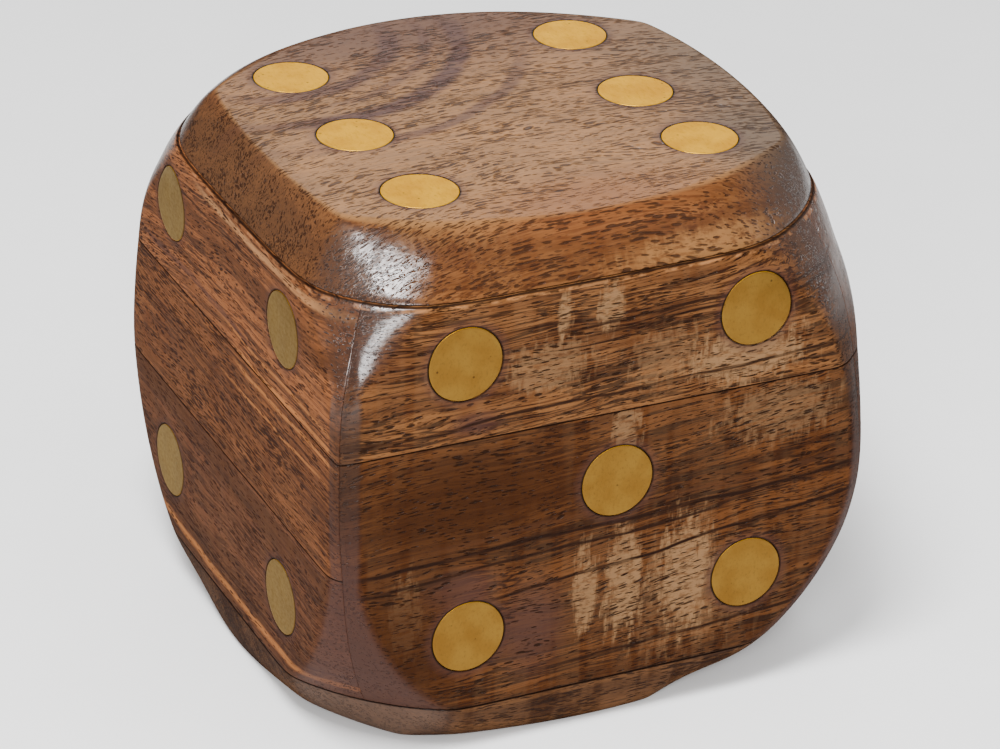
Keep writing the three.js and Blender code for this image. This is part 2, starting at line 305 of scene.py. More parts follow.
def cut_recesses(thing, side):
    """Cuts the recesses of a side's pips out of a piece of wood."""
    points, faces = [], []
    low = np.array([corner[:] for corner in thing.bound_box]).min(0) / MM
    high = np.array([corner[:] for corner in thing.bound_box]).max(0) / MM
    for node in PIP_NODES[side]:
        centre = pip_centre(node, side)
        reach = PIP_RADIUS + PIP_GAP
        if np.any(centre + reach < low) or np.any(centre - reach > high):
            continue
        start = len(points)
        for depth in (-CUTTER_PROUD, PIP_THICKNESS + RECESS_EXTRA):
            points.extend(circle_points(centre, side, reach, depth, False))
        faces.extend(tuple(start + i for i in quad) for quad in grid_faces(2, PIP_SIDES, closed=True))
        faces.append(tuple(start + i for i in range(PIP_SIDES)))
        faces.append(tuple(start + PIP_SIDES + i for i in range(PIP_SIDES)))
    if not points:
        return
    cutter = make_object("cutter", points, faces)
    modifier = thing.modifiers.new("recesses", "BOOLEAN")
    modifier.operation = "DIFFERENCE"
    modifier.solver = "EXACT"
    modifier.object = cutter
    evaluated = thing.evaluated_get(bpy.context.evaluated_depsgraph_get())
    mesh = bpy.data.meshes.new_from_object(evaluated)
    thing.modifiers.clear()
    thing.data = mesh
    bpy.data.objects.remove(cutter)


def finish_piece(thing, node, body, material):
    """Puts a fine piece in the place of its CAD node."""
    thing.data.materials.clear()
    thing.data.materials.append(material)
    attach(thing, body)
    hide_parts(node)


# ---- boards

def mitre_angle(side, end, height):
    """Where the outside meets the mitre at one end (-1 or 1) of a side, for each height."""
    facing = WALL_FACING[side]
    inner = np.full_like(height, facing)
    outer = np.full_like(height, facing + end * math.pi / 2)
    flip = 1 if side in ("left", "right") else -1
    for _ in range(MITRE_HALVINGS):
        middle = (inner + outer) / 2
        radius = body_radius(middle, height)
        past_x = np.abs(radius * np.cos(middle)) - CAVITY_HALF_WIDTH
        past_y = np.abs(radius * np.sin(middle)) - CAVITY_HALF_DEPTH
        short = (past_x - past_y) * flip > 0
        inner = np.where(short, middle, inner)
        outer = np.where(short, outer, middle)
    return (inner + outer) / 2


def wall_board(node, side, low_ease, high_ease):
    """One board of a wall, with eased edges, mitred ends and the recesses for its pips."""
    low, high = node_box(node)[0][2], node_box(node)[1][2]
    heights = low + spaced(high - low)
    start = mitre_angle(side, -1, heights)
    end = mitre_angle(side, 1, heights)
    columns = len(spaced(2 * HALF_WIDTH))
    rows = []
    for height, first, last in zip(heights, start, end):
        angles = np.linspace(first, last, PLAN_POINTS)
        radius = body_radius(angles, height)
        run = distances_along(ring_points(angles, radius, height))
        places = spaced(run[-1], (run[-1] - 2 * EDGE_STEPS[-1]) / (columns - 2 * len(EDGE_STEPS) + 1))
        angles = np.interp(places, run, angles)
        ease = ease_depth(np.minimum(places, run[-1] - places), MITRE_EASE)
        ease = np.maximum(ease, ease_depth(height - low, low_ease))
        ease = np.maximum(ease, ease_depth(high - height, high_ease))
        radius = body_radius(angles, height) - ease
        rows.append(ring_points(angles, radius, height))
    columns = len(rows[0])
    points = np.concatenate(rows)
    inner = []
    for corner in (start[0], end[0]):
        x = math.copysign(CAVITY_HALF_WIDTH, math.cos(corner))
        y = math.copysign(CAVITY_HALF_DEPTH, math.sin(corner))
        inner += [(x, y, low), (x, y, high)]
    count = len(points)
    first_low, first_high, last_low, last_high = range(count, count + 4)
    bottom = list(range(columns))
    top = [count - columns + i for i in range(columns)]
    first_end = [i * columns for i in range(len(rows))]
    last_end = [i * columns + columns - 1 for i in range(len(rows))]
    faces = grid_faces(len(rows), columns)
    faces.append(tuple(bottom + [last_low, first_low]))
    faces.append(tuple(top + [last_high, first_high]))
    faces.append(tuple(first_end + [first_high, first_low]))
    faces.append(tuple(last_end + [last_high, last_low]))
    faces.append((first_low, last_low, last_high, first_high))
    thing = make_object("fine_" + node, np.concatenate([points, np.array(inner)]), faces)
    cut_recesses(thing, side)
    shade(thing)
    return thing


def bevelled_board(node, side, rim_height, flat_height, rim_radius, flat, round_share, ease):
    """The lid or the base: a bevel from its rim to its flat, which has the recesses for its pips."""
    thickness = abs(flat_height - rim_height)
    count = int(4 * 2 * HALF_WIDTH / STEP)
    # The directions are spaced evenly along the rim.
    angles = np.linspace(0, 2 * math.pi, 4 * count)
    radius = rim_radius(angles)
    run = distances_along(ring_points(angles, radius, rim_height))
    angles = np.interp(np.linspace(0, run[-1], count, endpoint=False), run, angles)
    places = np.linspace(EDGE_STEPS[-1], thickness, int(thickness / BEVEL_STEP))
    places = thickness * (1 - (1 - places / thickness) ** BEVEL_CROWDING)
    places = np.concatenate([EDGE_STEPS, places[1:]])
    rim = rim_radius(angles)
    points = []
    for place in places:
        rise = place / thickness
        radius = bevel_radius(angles, rise, rim, flat, round_share) - ease_depth(place, ease)
        height = rim_height + (flat_height - rim_height) * place / thickness
        points.append(ring_points(angles, radius, height))
    for inset in FLAT_INSETS:
        shape = points[len(places) - 1] * np.array([1, 1, 0])
        shape *= 1 - inset / np.linalg.norm(shape, axis=1)[:, None]
        points.append(shape + np.array([0, 0, flat_height]))
    rings = len(points)
    faces = grid_faces(rings, count, closed=True)
    faces.append(tuple(range(count)))
    faces.append(tuple((rings - 1) * count + i for i in range(count)))
    thing = make_object("fine_" + node, np.concatenate(points), faces)
    cut_recesses(thing, side)
    shade(thing)
    return thing


def lid_rim(angle):
    """The outline of the lid's lower edge."""
    return body_radius(angle, SEAM) - LID_STEP


def base_rim(angle):
    """The outline of the base's upper edge, flush with the walls."""
    return body_radius(angle, BASE_TOP)


def lid_plug(node):
    """The rounded square under the lid, with its lower edge eased."""
    low, high = node_box(node)
    outline = []
    for quarter, (sign_x, sign_y) in enumerate(((1, 1), (-1, 1), (-1, -1), (1, -1))):
        for turn in np.linspace(0, math.pi / 2, PLUG_CORNER_POINTS) + quarter * math.pi / 2:
            x = sign_x * (high[0] - PLUG_CORNER) + PLUG_CORNER * math.cos(turn)
            y = sign_y * (high[1] - PLUG_CORNER) + PLUG_CORNER * math.sin(turn)
            outline.append((x, y))
    outline = np.array(outline)
    levels = [
        (low[2] + PLUG_EASE * (1 - math.sin(turn)), PLUG_EASE * (1 - math.cos(turn)))
        for turn in np.linspace(math.pi / 2, 0, PLUG_EASE_POINTS)
    ]
    levels.append((high[2], 0.0))
    points = []
    for height, inset in levels:
        ring = outline - np.sign(outline) * inset
        points.append(np.column_stack([ring, np.full(len(ring), height)]))
    count = len(outline)
    faces = grid_faces(len(levels), count, closed=True)
    faces.append(tuple(range(count)))
    faces.append(tuple((len(levels) - 1) * count + i for i in range(count)))
    thing = make_object("fine_" + node, np.concatenate(points), faces)
    shade(thing)
    return thing


def pip(node, side):
    """A brass disc that follows the box's outside, with its edge eased."""
    centre = pip_centre(node, side)
    inner = [(radius, 0.0) for radius in PIP_RINGS]
    turns = np.linspace(0, math.pi / 2, PIP_EASE_POINTS)
    edge = [(PIP_RADIUS - PIP_EASE * (1 - math.sin(t)), PIP_EASE * (1 - math.cos(t))) for t in turns]
    rings = [circle_points(centre, side, radius, depth, True) for radius, depth in inner + edge]
    rings.append(circle_points(centre, side, PIP_RADIUS, PIP_THICKNESS, False))
    middle = on_outside(centre[None], side)
    points = np.concatenate(rings + [middle])
    faces = grid_faces(len(rings), PIP_SIDES, closed=True)
    faces += [(len(points) - 1, i, (i + 1) % PIP_SIDES) for i in range(PIP_SIDES)]
    faces.append(tuple((len(rings) - 1) * PIP_SIDES + i for i in range(PIP_SIDES)))
    thing = make_object("fine_" + node, points, faces)
    shade(thing)
    return thing


# ---- shader nodes

class Shader:
    """Short ways to build one material's nodes from numbers, tuples and other nodes' outputs."""

    def __init__(self, name):
        self.material = bpy.data.materials.new(name)
        self.material.use_nodes = True
        self.tree = self.material.node_tree
        self.tree.nodes.clear()

    def node(self, kind, inputs, **settings):
        """A node of a kind, with its settings and inputs. An input that is an output is linked."""
        node = self.tree.nodes.new("ShaderNode" + kind)
        for key, value in settings.items():
            setattr(node, key, value)
        for socket, value in inputs.items():
            if isinstance(value, bpy.types.NodeSocket):
                self.tree.links.new(value, node.inputs[socket])
            else:
                node.inputs[socket].default_value = value
        return node

    def math(self, operation, *values):
        return self.node("Math", dict(enumerate(values)), operation=operation).outputs[0]

    def times(self, first, second):
        return self.math("MULTIPLY", first, second)

    def plus(self, first, second):
        return self.math("ADD", first, second)

    def minus(self, first, second):
        return self.math("SUBTRACT", first, second)

    def vector(self, operation, *values):
        node = self.node("VectorMath", dict(enumerate(values)), operation=operation)
        return node.outputs["Value" if operation in ("LENGTH", "DOT_PRODUCT", "DISTANCE") else "Vector"]

    def parts(self, vector):
        return self.node("SeparateXYZ", {0: vector}).outputs

    def join(self, x, y, z):
        return self.node("CombineXYZ", {0: x, 1: y, 2: z}).outputs[0]

    def ease(self, value, start, end, low=0.0, high=1.0):
        """A smooth change from low to high as the value goes from start to end."""
        inputs = dict(enumerate((value, start, end, low, high)))
        return self.node("MapRange", inputs, interpolation_type="SMOOTHSTEP").outputs[0]

    def noise(self, vector, fineness, detail=2.0, roughness=0.5, colour=False):
        """Noise with its fineness in cycles per unit of the vector, for each axis."""
        scaled = self.vector("MULTIPLY", vector, fineness)
        inputs = {"Vector": scaled, "Scale": 1.0, "Detail": detail, "Roughness": roughness}
        return self.node("TexNoise", inputs).outputs["Color" if colour else "Fac"]

    def line_noise(self, value, fineness, detail=2.0, roughness=0.5):
        """Noise that changes with one number only, such as a distance."""
        inputs = {"W": value, "Scale": fineness, "Detail": detail, "Roughness": roughness}
        return self.node("TexNoise", inputs, noise_dimensions="1D").outputs["Fac"]

    def cells(self, vector, fineness):
        """The distance to the nearest of scattered points, in cells."""
        scaled = self.vector("MULTIPLY", vector, fineness)
        return self.node("TexVoronoi", {"Vector": scaled, "Scale": 1.0}).outputs["Distance"]

    def mix(self, share, first, second, blend="MIX"):
        inputs = {0: share, 6: first, 7: second}
        return self.node("Mix", inputs, data_type="RGBA", blend_type=blend).outputs[2]

    def turned(self, vector, angles):
        inputs = {"Vector": vector, "Rotation": angles}
        return self.node("VectorRotate", inputs, rotation_type="EULER_XYZ").outputs[0]

    def spot(self, position, centre, radii, softness):
        """1 inside an ellipsoid and 0 outside, with a soft edge."""
        away = self.vector("DIVIDE", self.vector("SUBTRACT", position, centre), radii)
        return self.ease(self.vector("LENGTH", away), 1.0, 1.0 - softness)

    def bump(self, strength, height):
        """A bump whose height is in millimetres."""
        return self.node("Bump", {"Strength": strength, "Distance": MM, "Height": height}).outputs[0]

    def surface(self, **inputs):
        """Makes the material's surface: one Principled shader with these inputs."""
        inputs = {name.replace("_", " "): value for name, value in inputs.items()}
        shader = self.node("BsdfPrincipled", inputs)
        self.node("OutputMaterial", {"Surface": shader.outputs[0]})
        return self.material


def tone(red, green, blue):
    """A colour given by its 0 to 255 screen values."""
    screen = [value / 255 for value in (red, green, blue)]
    linear = [s / 12.92 if s <= 0.04045 else ((s + 0.055) / 1.055) ** 2.4 for s in screen]
    return (*linear, 1.0)


# ---- wood

# Dark glue in the board joints, and painted shade in the seam under the lid and in the gaps round the
# discs.
GLUE_AND_PAINTED_SHADE_TONE = tone(22, 12, 7)
CORNER_TONE = tone(38, 19, 8)
CORNER_DARKENS = (30.0, 52.0)  # the corners turn to that tone over these heights
ROUND_CORNER = 4.2  # width of the strip on each side of a corner that is painted darker and bumped round
ROUND_CORNER_FADE = 1.2
ROUND_CORNER_BEND = 0.45  # how far the strip's shading sinks
THIN_COAT = 0.05
LOW_POLISH = 0.12
HIGH_POLISH = 0.8
POLISHED_ABOVE = (57.0, 70.0)  # the corners' polish grows over these heights
PAINTED_SHADOW_RING_WIDTH = 2.0  # painted shade in the wood round a disc
DISC_LINE = (0.42, 0.15)  # how far outside a disc its dark line of painted shade starts, and is darkest
QUICK_WANDER_REACH = 1.5
RING_DRIFT = 0.03  # the rings shift this much for each millimetre along the board
RELIEF_EDGES = 4.0  # how many edges the relief gives
STRIPE_WOBBLE_REACH = 3.0
STRIPE_FADE = 5.0
PORE_DEPTH = 0.2
FINE_PORE_DEPTH = 0.025

# How fine each pattern is, in cycles per millimetre: along the grain, across the board and
# through it. One number is for a pattern that follows the growth rings.
SLOW_WANDER = (0.018, 0.06, 0.06)
QUICK_WANDER = (0.07, 0.35, 0.35)
MOTTLE = (0.09, 0.16, 0.16)
BROAD_BANDS = 0.11
BANDS = 0.42
RINGS = 1.0
FADING = (0.02, 0.25, 0.25)
RELIEF = (0.022, 0.62, 0.62)
THREADS = (0.035, 2.1, 2.1)
FIBRES = (0.14, 3.6, 3.6)
STREAKS = (0.28, 0.035, 0.05)
GRAINS = (0.5, 1.3, 1.3)
RAGGED_EDGES = (0.9, 0.22, 0.22)
STRIPE_BREAKS = (0.12, 1.6, 1.6)
STRIPE_WOBBLE = (0.05, 0.05, 0.05)
PORE_PATCHES = (0.06, 0.22, 0.22)
SHORT_PORES = (0.36, 2.1, 2.1)
LONG_PORES = (0.13, 1.6, 1.6)
FINE_PORES = (0.55, 3.6, 3.6)
BROKEN_PALE_EDGE = (0.5, 0.5, 0.5)
UNEVEN_LACQUER = (0.09, 0.09, 0.09)
LACQUER_RIPPLES = (0.33, 0.33, 0.33)


def wandering(s, board, look):
    """The board's own coordinates, with the grain wandering a little along the board."""
    slow = s.vector("SUBTRACT", s.noise(board, SLOW_WANDER, colour=True), (0.5,) * 3)
    slow = s.vector("MULTIPLY", slow, (0, look["wander"], look["wander"]))
    quick = s.vector("SUBTRACT", s.noise(board, QUICK_WANDER, colour=True), (0.5,) * 3)
    quick = s.vector("MULTIPLY", quick, (0, QUICK_WANDER_REACH, QUICK_WANDER_REACH))
    along, across, through = s.parts(s.vector("ADD", s.vector("ADD", board, slow), quick))
    bowed = s.times(s.times(along, along), look["bow"])
    tilted = s.times(along, look["tilt"])
    return s.join(along, s.plus(across, s.plus(bowed, tilted)), through)


def growth(s, board, warped, look):
    """Broad bands, dark growth lines and fibres. Returns the colour and the fibre pattern."""
    along, across, through = s.parts(warped)
    ring = s.vector("LENGTH", s.vector("SUBTRACT", s.join(0.0, across, through), (0, *look["pith"])))
    ring = s.plus(ring, s.times(along, RING_DRIFT))
    broad = s.ease(s.line_noise(ring, BROAD_BANDS, 1.0), 0.3, 0.7)
    bands = s.ease(s.line_noise(ring, BANDS, 2.0), 0.32, 0.7)
    mottle = s.ease(s.noise(board, MOTTLE, 2.0), 0.3, 0.7)
    share = s.times(broad, 0.35)
    share = s.plus(share, s.times(bands, 0.4))
    share = s.plus(share, s.times(mottle, 0.25))
    colour = s.mix(s.ease(share, 0.2, 0.75), look["light"], look["middle"])

    # Lines that come and go: thin rings, and the edges between harder and softer wood.
    fading = s.ease(s.noise(warped, FADING, 1.0), 0.35, 0.6, 0.25, 1.0)
    strength = s.times(fading, look["lines"])
    rings = s.ease(s.line_noise(ring, RINGS, 3.0, 0.6), 0.54, 0.72)
    colour = s.mix(s.times(rings, strength), colour, look["dark"])
    relief = s.noise(warped, RELIEF, 1.5, 0.6)
    edges = s.math("PINGPONG", s.times(relief, RELIEF_EDGES), 0.5)
    edges = s.ease(edges, 0.11, 0.02)
    colour = s.mix(s.times(edges, strength), colour, look["line"])

    threads = s.ease(s.noise(warped, THREADS, 3.0, 0.62), 0.5, 0.58)
    colour = s.mix(s.times(threads, look["threads"]), colour, look["line"])
    fibre = s.noise(warped, FIBRES, 3.0, 0.6)
    colour = s.mix(s.ease(fibre, 0.45, 0.72, 0.0, 0.6), colour, look["dark"])
    colour = s.mix(s.ease(fibre, 0.46, 0.25, 0.0, 0.45), colour, look["light"])
    return colour, fibre


def patches(s, position, board, look, colour):
    """Faint pale streaks all over, and pale and stained patches in known places."""
    grains = s.ease(s.noise(board, GRAINS, 3.0, 0.65), 0.35, 0.55, 0.3, 1.0)
    ragged = s.noise(board, RAGGED_EDGES, 3.0, 0.65)
    ragged = s.times(s.minus(ragged, 0.5), look["ragged"])
    for centre, radii, strength in look["pale"]:
        away = s.vector("DIVIDE", s.vector("SUBTRACT", position, centre), radii)
        away = s.plus(s.vector("LENGTH", away), ragged)
        mask = s.times(s.ease(away, 1.05, 0.5), s.times(grains, strength))
        colour = s.mix(mask, colour, look["pale_tone"])
    streaks = s.ease(s.noise(board, STREAKS, 2.0, 0.6), 0.4, 0.6)
    colour = s.mix(s.times(streaks, look["figure"]), colour, look["pale_tone"])
    for centre, radii, strength, stain in look["stains"]:
        mask = s.times(s.spot(position, centre, radii, 0.8), strength)
        colour = s.mix(mask, colour, stain)
    return colour


def stripes_and_curls(s, position, board, look, colour):
    """Dark and pale lines in known places: nearly straight along the walls, round on the lid."""
    wobble = s.minus(s.noise(position, STRIPE_WOBBLE, 2.0), 0.5)
    wobble = s.times(wobble, STRIPE_WOBBLE_REACH)
    breaks = s.ease(s.noise(board, STRIPE_BREAKS, 3.0, 0.6), 0.36, 0.52, 0.6, 1.0)
    run = s.parts(position)[look["run_axis"]]
    up = s.parts(position)[2]
    for start, end, height, slope, width, strength, stripe in look["stripes"]:
        level = s.plus(s.times(run, slope), height)
        off = s.math("ABSOLUTE", s.plus(s.minus(up, level), wobble))
        mask = s.times(s.ease(off, width, width * 0.3), s.times(breaks, strength))
        begun = s.ease(run, start - STRIPE_FADE, start + STRIPE_FADE)
        reach = s.times(begun, s.ease(run, end + STRIPE_FADE, end - STRIPE_FADE))
        colour = s.mix(s.times(mask, reach), colour, stripe)
    for centre, radius, width, patch, radii, strength in look["curls"]:
        round_it = s.vector("DISTANCE", s.vector("MULTIPLY", position, (1, 1, 0)), (*centre, 0))
        off = s.math("ABSOLUTE", s.plus(s.minus(round_it, radius), wobble))
        mask = s.times(s.ease(off, width, width * 0.3), s.spot(position, patch, radii, 0.5))
        mask = s.times(mask, s.times(breaks, strength))
        colour = s.mix(mask, colour, look["stain_and_painted_light_tone"])
    return colour


def open_pores(s, warped, look, colour):
    """Long thin pores: dashes along the grain and dots across it. Returns the colour and the depth."""
    patchy = s.ease(s.noise(warped, PORE_PATCHES, 2.0), 0.35, 0.65, 0.7, 1.2)
    size = s.times(patchy, look["pores"])
    depth = None
    for fineness, share, strength, deep in (
        (SHORT_PORES, 1.0, look["pore_strength"], PORE_DEPTH),
        (LONG_PORES, 0.66, look["pore_strength"], PORE_DEPTH),
        (FINE_PORES, 0.9, 0.6, FINE_PORE_DEPTH),
    ):
        distance = s.cells(warped, fineness)
        pores = s.ease(s.math("DIVIDE", distance, s.times(size, share)), 1.0, 0.6)
        colour = s.mix(s.times(pores, strength), colour, look["pore"])
        sunk = s.times(pores, -deep)
        depth = sunk if depth is None else s.math("MINIMUM", depth, sunk)
    return colour, depth


def near_joint(s, height, joint, reach, fade):
    """1 at a joint's height, and 0 from a reach above and below it."""
    return s.ease(s.math("ABSOLUTE", s.minus(height, joint)), reach, reach * fade)


def joint_lines_and_rings(s, position, normal, look, colour):
    """Glue in the board joints, painted shade in the seam under the lid and round the brass, and a paler
    broken line on the edge under the seam.
    """
    height = s.parts(position)[2]
    upright = s.ease(s.math("ABSOLUTE", s.parts(normal)[2]), 0.999, 0.97)
    # Dark lines along the joints: glue between boards, and painted shade in the seam under the lid.
    for joint, reach, strength in look["joints"]:
        joint_line = s.times(near_joint(s, height, joint, reach, 0.35), s.times(upright, strength))
        colour = s.mix(joint_line, colour, GLUE_AND_PAINTED_SHADE_TONE)
    # A paler broken line along the edge just under the seam.
    broken = s.ease(s.noise(position, BROKEN_PALE_EDGE, 3.0), 0.45, 0.6)
    for joint, reach, strength in look["pale_edge_lines"]:
        pale_edge = s.times(near_joint(s, height, joint, reach, 0.4), broken)
        colour = s.mix(s.times(pale_edge, strength), colour, look["pale_edge_tone"])

    side = look["side"]
    outward = FACES[side][0]
    in_face = tuple(0.0 if axis else 1.0 for axis in outward)
    on_face = s.vector("MULTIPLY", position, in_face)
    nearest = None
    for node in PIP_NODES[side]:
        centre = tuple(float(c) for c in pip_centre(node, side) * np.array(in_face))
        distance = s.vector("DISTANCE", on_face, centre)
        nearest = distance if nearest is None else s.math("MINIMUM", nearest, distance)
    # Painted shade round each disc: a soft shadow ring in the wood, and a dark line in the gap round the
    # disc.
    outside = s.ease(s.vector("DOT_PRODUCT", normal, outward), 0.0, 0.3)
    painted_shadow_ring = s.ease(nearest, PIP_RADIUS + PAINTED_SHADOW_RING_WIDTH, PIP_RADIUS, 0.0, 0.5)
    line = s.ease(nearest, PIP_RADIUS + DISC_LINE[0], PIP_RADIUS + DISC_LINE[1], 0.0, 0.85)
    colour = s.mix(s.times(painted_shadow_ring, outside), colour, look["stain_and_painted_light_tone"])
    return s.mix(s.times(line, outside), colour, GLUE_AND_PAINTED_SHADE_TONE)


def corner_strip(s, position, normal):
    """How much a place lies on a corner of the box, and how far it lies into the corner's strip, below
    zero.
    """
    x, y, _ = s.parts(s.vector("ABSOLUTE", normal))
    corner = s.ease(s.math("MINIMUM", x, y), 0.12, 0.5)
    x, y, _ = s.parts(s.vector("ABSOLUTE", position))
    inward = s.minus(HALF_WIDTH - ROUND_CORNER, s.math("MINIMUM", x, y))
    inward = s.math("MINIMUM", inward, 0.0)
    return s.math("MAXIMUM", corner, s.ease(inward, 0.0, -ROUND_CORNER_FADE)), inward


def lacquer(s, position, normal, corner, look):
    """The coat's weight: thin on the flats, and thick on the corners that hands polish."""
    if not look["handled"]:
        return THIN_COAT
    weight = s.ease(s.parts(position)[2], *POLISHED_ABOVE, LOW_POLISH, HIGH_POLISH)
    weight = s.math("MAXIMUM", s.times(corner, weight), THIN_COAT)
    if look["top_coat"]:
        weight = s.math("MAXIMUM", weight, s.ease(s.parts(normal)[2], 0.97, 0.995, 0.0, look["top_coat"]))
    return weight


def wood(name, look):
    """Solid wood: growth rings, fibres and pores run through the board.

    The look's grain turns the object's axes so that X is along the grain, Y across the board's face
    and Z through it. All lengths are in millimetres.
    """
    s = Shader(name)
    coordinates = s.node("TexCoord", {})
    normal = coordinates.outputs["Normal"]
    position = s.vector("MULTIPLY", coordinates.outputs["Object"], (1 / MM,) * 3)
    board = s.vector("ADD", s.turned(position, look["grain"]), look["shift"])
    warped = wandering(s, board, look)

    colour, fibre = growth(s, board, warped, look)
    # Painted sheen: where the lid's flat top faces up it is made paler than the bevel round it, standing
    # in for the reflection of the bright surround.
    if look["painted_sheen_tone"]:
        upward = s.ease(s.parts(normal)[2], 0.9, 0.985)
        colour = s.mix(upward, colour, look["painted_sheen_tone"], "SCREEN")
    colour = patches(s, position, board, look, colour)
    colour = stripes_and_curls(s, position, board, look, colour)
    colour, depth = open_pores(s, warped, look, colour)

    # The ends of the fibres drink more finish and go darker.
    ends = s.math("ABSOLUTE", s.parts(s.turned(normal, look["grain"]))[0])
    colour = s.mix(s.times(s.ease(ends, 0.3, 0.85), 0.5), colour, look["end_tone"], "MULTIPLY")
    # The corners are painted darker than the flats: a purplish grey low down, which is a painted sheen of
    # the bright surround, and a dark brown higher up. Hands have polished them glossier, and worn them
    # round.
    corner, inward = corner_strip(s, position, normal)
    painted_corner_tone = s.mix(s.ease(s.parts(position)[2], *CORNER_DARKENS), look["stain_and_painted_light_tone"], CORNER_TONE)
    colour = s.mix(s.times(corner, 0.65), colour, painted_corner_tone)
    colour = joint_lines_and_rings(s, position, normal, look, colour)

    # Lacquer: glossy, sunk into the pores, a little uneven.
    uneven = s.noise(position, UNEVEN_LACQUER, 2.0)
    ripples = s.noise(position, LACQUER_RIPPLES, 2.0)
    worn_round = s.times(s.times(inward, inward), -ROUND_CORNER_BEND / ROUND_CORNER)
    depth = s.plus(s.times(depth, 1.4), worn_round)
    depth = s.plus(depth, s.times(fibre, 0.02))
    depth = s.plus(depth, s.times(uneven, 0.5))
    depth = s.plus(depth, s.times(ripples, 0.16))
    relief = s.bump(0.8, depth)
    return s.surface(
        Base_Color=colour,
        Roughness=s.ease(fibre, 0.3, 0.7, look["gloss"], look["gloss"] + 0.14),
        Specular_IOR_Level=0.0,
        Coat_IOR=1.7,
        Coat_Weight=lacquer(s, position, normal, corner, look),
        Coat_Roughness=0.2,
        Normal=relief,
        Coat_Normal=relief,
    )


# ---- brass

BRASS_LIGHT = tone(232, 172, 50)
BRASS_DEEP = tone(212, 150, 40)
BRASS_WORN = tone(160, 112, 44)
BRASS_SPECK = tone(90, 62, 30)
# Painted light and shade: what the tones are multiplied by, so that discs on the lid look lit and bright,
# and discs on the walls shaded and duller.
LID_BRASS_PAINTED_LIGHT = tone(238, 240, 150)
FRONT_BRASS_PAINTED_SHADE = tone(134, 137, 204)
SIDE_BRASS_PAINTED_SHADE = tone(90, 86, 92)


def brass(name):
    """Satin brass, brushed flat with the wood: scratches, a faint mottle and a few dark specks."""
    s = Shader(name)
    coordinates = s.node("TexCoord", {})
    position = s.vector("MULTIPLY", coordinates.outputs["Object"], (1 / MM,) * 3)
    cloudy = s.noise(position, (0.22, 0.22, 0.22), 3.0)
    colour = s.mix(s.ease(cloudy, 0.3, 0.7), BRASS_LIGHT, BRASS_DEEP)
    fine = s.noise(position, (2.4, 1.1, 1.7), 3.0, 0.65)
    colour = s.mix(s.ease(fine, 0.5, 0.8, 0.0, 0.35), colour, BRASS_WORN)
    specks = s.ease(s.cells(position, (0.45, 0.45, 0.45)), 0.11, 0.05)
    colour = s.mix(s.times(specks, 0.7), colour, BRASS_SPECK)
    # Painted light and shade: the colour is multiplied by a tone chosen by the way the disc faces.
    facing = s.parts(s.vector("ABSOLUTE", coordinates.outputs["Normal"]))
    painted_wall_shade = s.mix(s.ease(facing[0], 0.4, 0.8), FRONT_BRASS_PAINTED_SHADE, SIDE_BRASS_PAINTED_SHADE)
    on_lid = s.mix(1.0, colour, LID_BRASS_PAINTED_LIGHT, "MULTIPLY")
    on_wall = s.mix(1.0, colour, painted_wall_shade, "MULTIPLY")
    colour = s.mix(s.ease(facing[2], 0.8, 0.4), on_lid, on_wall)

    scratches = s.noise(position, (7.0, 0.35, 0.9), 2.0, 0.6)
    crossed = s.noise(position, (0.5, 6.0, 1.2), 2.0, 0.6)
    depth = s.plus(s.times(scratches, 0.012), s.times(crossed, 0.008))
    depth = s.plus(depth, s.times(cloudy, 0.12))
    return s.surface(
        Base_Color=colour,
        Metallic=1.0,
        Specular_Tint=tone(255, 243, 214),
        Roughness=s.ease(fine, 0.3, 0.8, 0.42, 0.54),
        Normal=s.bump(0.6, depth),
    )


# ---- the boards' looks

# Turns of the object's axes into the wood's: along the grain, across the board and through it.
ALONG_X = (0.0, 0.0, 0.0)
FRONT_TURN = (-math.pi / 2, 0.0, 0.0)
SIDE_TURN = (-math.pi / 2, math.pi / 2, 0.0)

FRONT_JOINT = node_box("front_upper_board")[0][2]
SIDE_JOINT = node_box("left_middle_board")[0][2]
# A joint's height, how far its dark line reaches, and how strong it is: glue in the board joints, and
# painted shade in the seam under the lid.
UPPER_JOINTS = ((FRONT_JOINT, 0.2, 0.95), (SEAM, 0.3, 0.9))
LOWER_JOINTS = ((FRONT_JOINT, 0.2, 0.95), (BASE_TOP, 0.3, 0.95))
UNDER_SEAM = ((SEAM - 0.5, 0.35, 0.3),)

# Tones of the stripes and stains.
BLACK_LINE = tone(27, 12, 5)
BROWN_BAND = tone(66, 38, 20)
ORANGE = tone(152, 96, 52)
TAN = tone(148, 106, 70)
PURPLE = tone(62, 40, 34)
SHADE = tone(46, 21, 4)
GREY_SHADE = tone(72, 60, 49)
WARM_BROWN = tone(107, 62, 33)
GREY_BROWN = tone(81, 59, 42)

